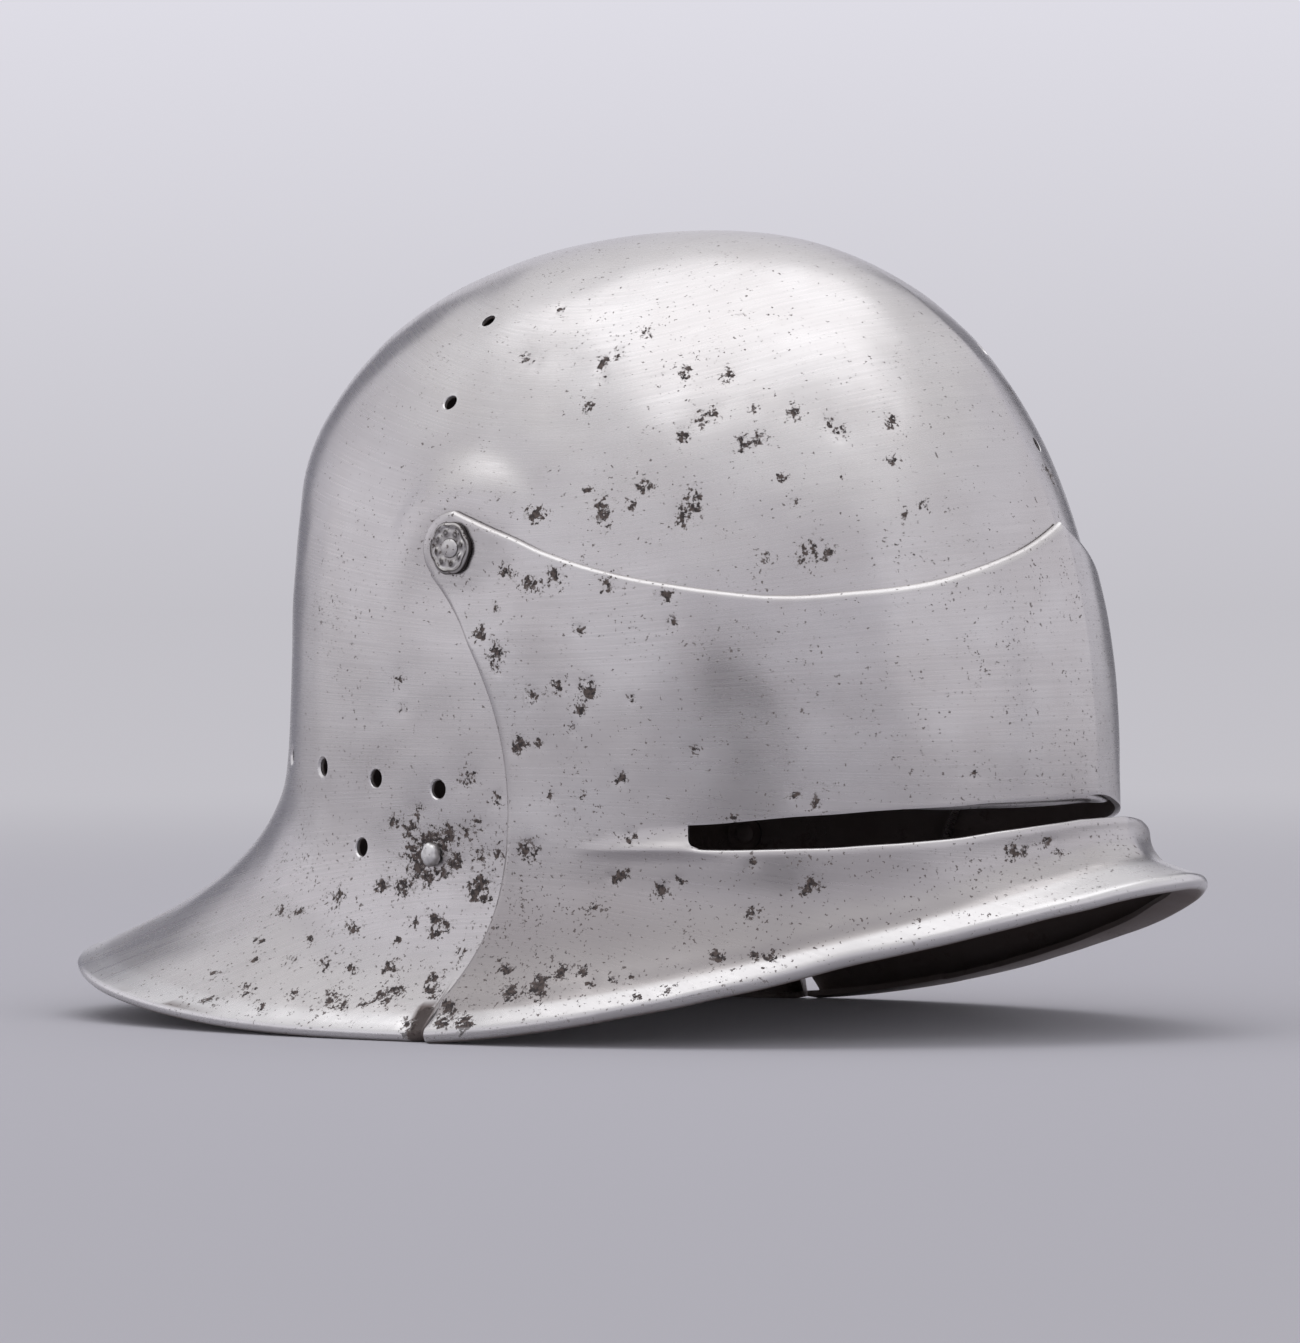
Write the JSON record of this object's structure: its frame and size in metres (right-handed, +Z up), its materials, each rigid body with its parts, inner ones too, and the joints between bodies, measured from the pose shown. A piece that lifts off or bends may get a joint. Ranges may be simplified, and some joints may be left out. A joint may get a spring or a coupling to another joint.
{
  "type": "visored sallet helmet",
  "caption": "Steel sallet helmet with a long swept tail and a pivoting visor that has a stepped sight slit; lining and straps are missing.",
  "frame": {"origin": "on the level surface that the rim touches, under the middle of the helmet's length", "axes": "+X toward the face, +Y toward the wearer's left, +Z up"},
  "size_m": [0.3866, 0.2474, 0.25],
  "materials": {
    "skull_steel": "satin polish with fine cross brushing, pits and dark specks",
    "visor_steel": "satin polish with fine cross brushing, pits denser toward the rear",
    "rosette_steel": "worn, dark in the recesses",
    "rivet_steel": "worn, peened by hand",
    "washer_iron": "dark, forge-black"
  },
  "bodies": {
    "skull_assembly": {"skull": "skull_steel", "pivot_rosette_right": "rosette_steel", "pivot_rosette_left": "rosette_steel", "pivot_rivet_right": "rivet_steel", "pivot_rivet_left": "rivet_steel", "pivot_washer_right": "washer_iron", "pivot_washer_left": "washer_iron", "strap_rivet_right": "rivet_steel", "strap_rivet_left": "rivet_steel", "strap_washer_right": "washer_iron", "strap_washer_left": "washer_iron"},
    "visor_assembly": {"visor": "visor_steel"}
  },
  "joints": [
    {"name": "visor_pivot", "type": "hinge", "parent": "skull_assembly", "child": "visor_assembly", "pos_m": [-0.01045, 0, 0.1495], "axis": [0, -1, 0], "range_deg": [0, 50]}
  ]
}
